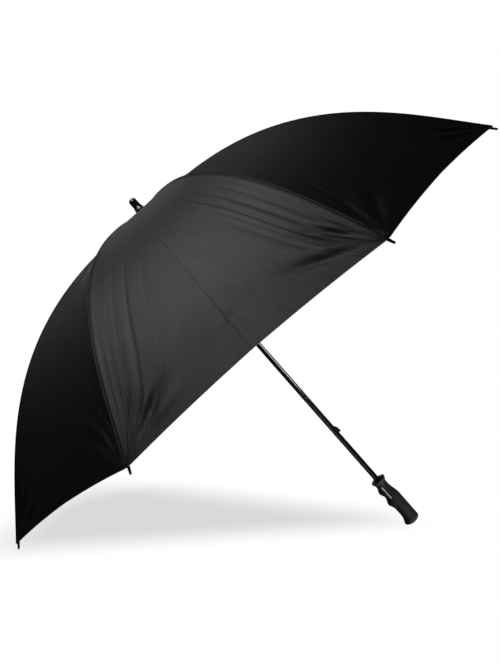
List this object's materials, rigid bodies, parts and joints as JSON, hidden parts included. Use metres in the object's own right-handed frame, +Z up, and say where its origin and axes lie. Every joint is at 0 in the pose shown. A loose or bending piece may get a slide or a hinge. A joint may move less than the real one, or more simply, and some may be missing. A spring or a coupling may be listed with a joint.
{
  "type": "golf umbrella",
  "caption": "open golf umbrella: domed cloth canopy on jointed ribs and stretchers, sliding runner with spring catches, slim straight shaft, finger-grooved soft grip, blunt ferrule",
  "frame": {"origin": "centre of the flat face under the handle", "axes": "+Z runs up the shaft from the handle to the ferrule; the shaft lies on the Z axis; -Y faces the middle of one gore; the finger grooves face -X and the catches face +X"},
  "size_m": [1.217, 1.217, 0.968],
  "materials": {
    "shaft_black": "gloss black enamel",
    "grip_black": "matte black foam rubber",
    "hard_plastic": "smooth black plastic",
    "hub_plastic": "moulded black plastic",
    "bright_metal": "bright plated",
    "spring_steel": "blackened spring steel",
    "rib_black": "black glass-fibre rod, satin",
    "stretcher_black": "black enamelled steel",
    "cloth_black": "tightly woven black polyester, slight sheen"
  },
  "bodies": {
    "shaft_group": {"shaft": "shaft_black", "handle_grip": "grip_black", "ferrule": "hard_plastic", "ferrule_collar": "hard_plastic", "crown_cap": "cloth_black", "top_notch": "hub_plastic", "runner_stop": "bright_metal"},
    "runner_group": {"runner": "hub_plastic"},
    "catch_lower_group": {"catch_lower": "spring_steel"},
    "catch_upper_group": {"catch_upper": "spring_steel"},
    "rib_group_1": {"rib_inner_1": "rib_black"},
    "rib_end_group_1": {"rib_outer_1": "rib_black", "rib_tip_1": "hard_plastic", "gore_1_left": "cloth_black", "gore_8_right": "cloth_black"},
    "stretcher_group_1": {"stretcher_1": "stretcher_black"},
    "rib_group_2": {"rib_inner_2": "rib_black"},
    "rib_end_group_2": {"rib_outer_2": "rib_black", "rib_tip_2": "hard_plastic", "gore_2_left": "cloth_black", "gore_1_right": "cloth_black"},
    "stretcher_group_2": {"stretcher_2": "stretcher_black"},
    "rib_group_3": {"rib_inner_3": "rib_black"},
    "rib_end_group_3": {"rib_outer_3": "rib_black", "rib_tip_3": "hard_plastic", "gore_3_left": "cloth_black", "gore_2_right": "cloth_black"},
    "stretcher_group_3": {"stretcher_3": "stretcher_black"},
    "rib_group_4": {"rib_inner_4": "rib_black"},
    "rib_end_group_4": {"rib_outer_4": "rib_black", "rib_tip_4": "hard_plastic", "gore_4_left": "cloth_black", "gore_3_right": "cloth_black"},
    "stretcher_group_4": {"stretcher_4": "stretcher_black"},
    "rib_group_5": {"rib_inner_5": "rib_black"},
    "rib_end_group_5": {"rib_outer_5": "rib_black", "rib_tip_5": "hard_plastic", "gore_5_left": "cloth_black", "gore_4_right": "cloth_black"},
    "stretcher_group_5": {"stretcher_5": "stretcher_black"},
    "rib_group_6": {"rib_inner_6": "rib_black"},
    "rib_end_group_6": {"rib_outer_6": "rib_black", "rib_tip_6": "hard_plastic", "gore_6_left": "cloth_black", "gore_5_right": "cloth_black"},
    "stretcher_group_6": {"stretcher_6": "stretcher_black"},
    "rib_group_7": {"rib_inner_7": "rib_black"},
    "rib_end_group_7": {"rib_outer_7": "rib_black", "rib_tip_7": "hard_plastic", "gore_7_left": "cloth_black", "gore_6_right": "cloth_black"},
    "stretcher_group_7": {"stretcher_7": "stretcher_black"},
    "rib_group_8": {"rib_inner_8": "rib_black"},
    "rib_end_group_8": {"rib_outer_8": "rib_black", "rib_tip_8": "hard_plastic", "gore_8_left": "cloth_black", "gore_7_right": "cloth_black"},
    "stretcher_group_8": {"stretcher_8": "stretcher_black"}
  },
  "joints": [
    {"name": "runner_slide", "type": "slide", "parent": "shaft_group", "child": "runner_group", "axis": [0, 0, -1], "range_m": [0, 0.42941], "deforming": ["gore_1_left", "gore_1_right", "gore_2_left", "gore_2_right", "gore_3_left", "gore_3_right", "gore_4_left", "gore_4_right", "gore_5_left", "gore_5_right", "gore_6_left", "gore_6_right", "gore_7_left", "gore_7_right", "gore_8_left", "gore_8_right", "catch_lower", "catch_upper"]},
    {"name": "catch_lower_press", "type": "hinge", "parent": "shaft_group", "child": "catch_lower_group", "pos_m": [0.004, 0, 0.2182], "axis": [0, -1, 0], "range_deg": [0, 5.4], "stiffness_Nm_per_rad": 4},
    {"name": "catch_upper_press", "type": "hinge", "parent": "shaft_group", "child": "catch_upper_group", "pos_m": [0.004, 0, 0.55032], "axis": [0, -1, 0], "range_deg": [0, 4.4], "stiffness_Nm_per_rad": 4},
    {"name": "rib_root_1", "type": "hinge", "parent": "shaft_group", "child": "rib_group_1", "pos_m": [0.01155, 0.00478, 0.9172], "axis": [-0.3827, 0.9239, 0], "range_deg": [0, 70.84]},
    {"name": "rib_flex_1", "type": "hinge", "parent": "rib_group_1", "child": "rib_end_group_1", "pos_m": [0.36256, 0.15018, 0.83119], "axis": [-0.3827, 0.9239, 0], "range_deg": [-24.15, 0]},
    {"name": "stretcher_joint_1", "type": "hinge", "parent": "rib_group_1", "child": "stretcher_group_1", "pos_m": [0.29695, 0.123, 0.85889], "axis": [-0.3827, 0.9239, 0], "range_deg": [-124.8, 0]},
    {"name": "rib_root_2", "type": "hinge", "parent": "shaft_group", "child": "rib_group_2", "pos_m": [0.00478, 0.01155, 0.9172], "axis": [-0.9239, 0.3827, 0], "range_deg": [0, 70.84]},
    {"name": "rib_flex_2", "type": "hinge", "parent": "rib_group_2", "child": "rib_end_group_2", "pos_m": [0.15018, 0.36256, 0.83119], "axis": [-0.9239, 0.3827, 0], "range_deg": [-24.15, 0]},
    {"name": "stretcher_joint_2", "type": "hinge", "parent": "rib_group_2", "child": "stretcher_group_2", "pos_m": [0.123, 0.29695, 0.85889], "axis": [-0.9239, 0.3827, 0], "range_deg": [-124.8, 0]},
    {"name": "rib_root_3", "type": "hinge", "parent": "shaft_group", "child": "rib_group_3", "pos_m": [-0.00478, 0.01155, 0.9172], "axis": [-0.9239, -0.3827, 0], "range_deg": [0, 70.84]},
    {"name": "rib_flex_3", "type": "hinge", "parent": "rib_group_3", "child": "rib_end_group_3", "pos_m": [-0.15018, 0.36256, 0.83119], "axis": [-0.9239, -0.3827, 0], "range_deg": [-24.15, 0]},
    {"name": "stretcher_joint_3", "type": "hinge", "parent": "rib_group_3", "child": "stretcher_group_3", "pos_m": [-0.123, 0.29695, 0.85889], "axis": [-0.9239, -0.3827, 0], "range_deg": [-124.8, 0]},
    {"name": "rib_root_4", "type": "hinge", "parent": "shaft_group", "child": "rib_group_4", "pos_m": [-0.01155, 0.00478, 0.9172], "axis": [-0.3827, -0.9239, 0], "range_deg": [0, 70.84]},
    {"name": "rib_flex_4", "type": "hinge", "parent": "rib_group_4", "child": "rib_end_group_4", "pos_m": [-0.36256, 0.15018, 0.83119], "axis": [-0.3827, -0.9239, 0], "range_deg": [-24.15, 0]},
    {"name": "stretcher_joint_4", "type": "hinge", "parent": "rib_group_4", "child": "stretcher_group_4", "pos_m": [-0.29695, 0.123, 0.85889], "axis": [-0.3827, -0.9239, 0], "range_deg": [-124.8, 0]},
    {"name": "rib_root_5", "type": "hinge", "parent": "shaft_group", "child": "rib_group_5", "pos_m": [-0.01155, -0.00478, 0.9172], "axis": [0.3827, -0.9239, 0], "range_deg": [0, 70.84]},
    {"name": "rib_flex_5", "type": "hinge", "parent": "rib_group_5", "child": "rib_end_group_5", "pos_m": [-0.36256, -0.15018, 0.83119], "axis": [0.3827, -0.9239, 0], "range_deg": [-24.15, 0]},
    {"name": "stretcher_joint_5", "type": "hinge", "parent": "rib_group_5", "child": "stretcher_group_5", "pos_m": [-0.29695, -0.123, 0.85889], "axis": [0.3827, -0.9239, 0], "range_deg": [-124.8, 0]},
    {"name": "rib_root_6", "type": "hinge", "parent": "shaft_group", "child": "rib_group_6", "pos_m": [-0.00478, -0.01155, 0.9172], "axis": [0.9239, -0.3827, 0], "range_deg": [0, 70.84]},
    {"name": "rib_flex_6", "type": "hinge", "parent": "rib_group_6", "child": "rib_end_group_6", "pos_m": [-0.15018, -0.36256, 0.83119], "axis": [0.9239, -0.3827, 0], "range_deg": [-24.15, 0]},
    {"name": "stretcher_joint_6", "type": "hinge", "parent": "rib_group_6", "child": "stretcher_group_6", "pos_m": [-0.123, -0.29695, 0.85889], "axis": [0.9239, -0.3827, 0], "range_deg": [-124.8, 0]},
    {"name": "rib_root_7", "type": "hinge", "parent": "shaft_group", "child": "rib_group_7", "pos_m": [0.00478, -0.01155, 0.9172], "axis": [0.9239, 0.3827, 0], "range_deg": [0, 70.84]},
    {"name": "rib_flex_7", "type": "hinge", "parent": "rib_group_7", "child": "rib_end_group_7", "pos_m": [0.15018, -0.36256, 0.83119], "axis": [0.9239, 0.3827, 0], "range_deg": [-24.15, 0]},
    {"name": "stretcher_joint_7", "type": "hinge", "parent": "rib_group_7", "child": "stretcher_group_7", "pos_m": [0.123, -0.29695, 0.85889], "axis": [0.9239, 0.3827, 0], "range_deg": [-124.8, 0]},
    {"name": "rib_root_8", "type": "hinge", "parent": "shaft_group", "child": "rib_group_8", "pos_m": [0.01155, -0.00478, 0.9172], "axis": [0.3827, 0.9239, 0], "range_deg": [0, 70.84]},
    {"name": "rib_flex_8", "type": "hinge", "parent": "rib_group_8", "child": "rib_end_group_8", "pos_m": [0.36256, -0.15018, 0.83119], "axis": [0.3827, 0.9239, 0], "range_deg": [-24.15, 0]},
    {"name": "stretcher_joint_8", "type": "hinge", "parent": "rib_group_8", "child": "stretcher_group_8", "pos_m": [0.29695, -0.123, 0.85889], "axis": [0.3827, 0.9239, 0], "range_deg": [-124.8, 0]}
  ],
  "couplings": [
    {"joint": "rib_root_1", "follows": "runner_slide", "rad_per_m": 2.8789},
    {"joint": "rib_flex_1", "follows": "runner_slide", "rad_per_m": -0.98131},
    {"joint": "stretcher_joint_1", "follows": "runner_slide", "rad_per_m": -5.0722},
    {"joint": "rib_root_2", "follows": "runner_slide", "rad_per_m": 2.8789},
    {"joint": "rib_flex_2", "follows": "runner_slide", "rad_per_m": -0.98131},
    {"joint": "stretcher_joint_2", "follows": "runner_slide", "rad_per_m": -5.0722},
    {"joint": "rib_root_3", "follows": "runner_slide", "rad_per_m": 2.8789},
    {"joint": "rib_flex_3", "follows": "runner_slide", "rad_per_m": -0.98131},
    {"joint": "stretcher_joint_3", "follows": "runner_slide", "rad_per_m": -5.0722},
    {"joint": "rib_root_4", "follows": "runner_slide", "rad_per_m": 2.8789},
    {"joint": "rib_flex_4", "follows": "runner_slide", "rad_per_m": -0.98131},
    {"joint": "stretcher_joint_4", "follows": "runner_slide", "rad_per_m": -5.0722},
    {"joint": "rib_root_5", "follows": "runner_slide", "rad_per_m": 2.8789},
    {"joint": "rib_flex_5", "follows": "runner_slide", "rad_per_m": -0.98131},
    {"joint": "stretcher_joint_5", "follows": "runner_slide", "rad_per_m": -5.0722},
    {"joint": "rib_root_6", "follows": "runner_slide", "rad_per_m": 2.8789},
    {"joint": "rib_flex_6", "follows": "runner_slide", "rad_per_m": -0.98131},
    {"joint": "stretcher_joint_6", "follows": "runner_slide", "rad_per_m": -5.0722},
    {"joint": "rib_root_7", "follows": "runner_slide", "rad_per_m": 2.8789},
    {"joint": "rib_flex_7", "follows": "runner_slide", "rad_per_m": -0.98131},
    {"joint": "stretcher_joint_7", "follows": "runner_slide", "rad_per_m": -5.0722},
    {"joint": "rib_root_8", "follows": "runner_slide", "rad_per_m": 2.8789},
    {"joint": "rib_flex_8", "follows": "runner_slide", "rad_per_m": -0.98131},
    {"joint": "stretcher_joint_8", "follows": "runner_slide", "rad_per_m": -5.0722}
  ]
}
